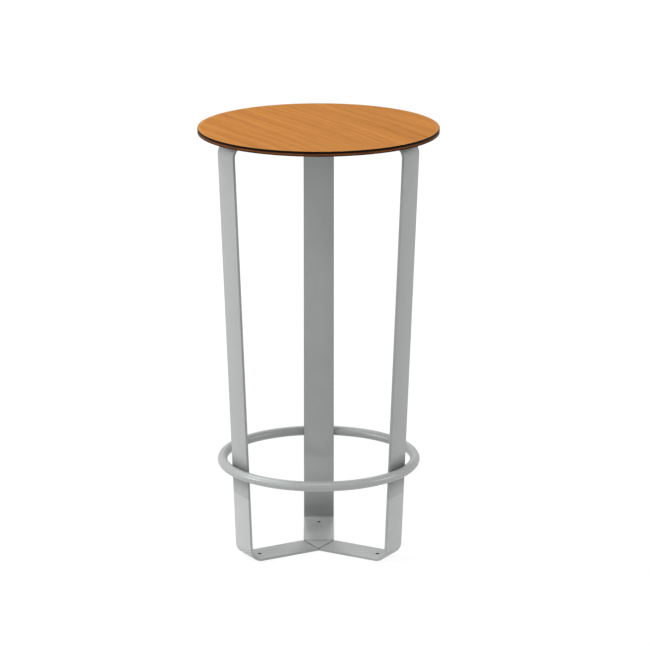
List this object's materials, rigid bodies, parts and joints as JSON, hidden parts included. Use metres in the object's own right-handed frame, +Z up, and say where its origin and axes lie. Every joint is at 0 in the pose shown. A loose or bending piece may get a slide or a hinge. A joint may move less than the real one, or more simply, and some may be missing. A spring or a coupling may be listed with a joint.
{
  "type": "standing meeting table",
  "caption": "Tall round meeting table: a wood-faced laminated top on legs of bent flat bar, with a round foot ring outside them.",
  "frame": {"origin": "on the floor under the middle of the tabletop", "axes": "+Z up, +Y towards the rear leg, +X to the right seen from the front"},
  "size_m": [0.5779, 0.578, 1.05],
  "materials": {
    "powder_coat": "satin silver-grey powder coat with a fine texture",
    "wood_face": "straight-grained honey-coloured veneer, satin lacquer",
    "black_laminate": "near-black pressed laminate, cut edge",
    "brown_laminate": "red-brown pressed laminate with dark streaks, cut edge",
    "zinc_steel": "bright zinc plate",
    "brass": "turned brass"
  },
  "bodies": {
    "root": {"rear_leg": "powder_coat", "left_leg": "powder_coat", "right_leg": "powder_coat", "base_plate": "powder_coat", "head_plate": "powder_coat", "foot_ring": "powder_coat", "base_weld_rear": "powder_coat", "base_weld_left": "powder_coat", "base_weld_right": "powder_coat", "head_weld_rear": "powder_coat", "head_weld_left": "powder_coat", "head_weld_right": "powder_coat", "ring_weld_rear_left": "powder_coat", "ring_weld_rear_right": "powder_coat", "ring_weld_left_front": "powder_coat", "ring_weld_left_back": "powder_coat", "ring_weld_right_back": "powder_coat", "ring_weld_right_front": "powder_coat", "tabletop_veneer": "wood_face", "tabletop_black_layer": "black_laminate", "tabletop_core": "brown_laminate", "top_screws": "zinc_steel", "top_washers": "zinc_steel", "top_inserts": "brass"}
  },
  "joints": []
}
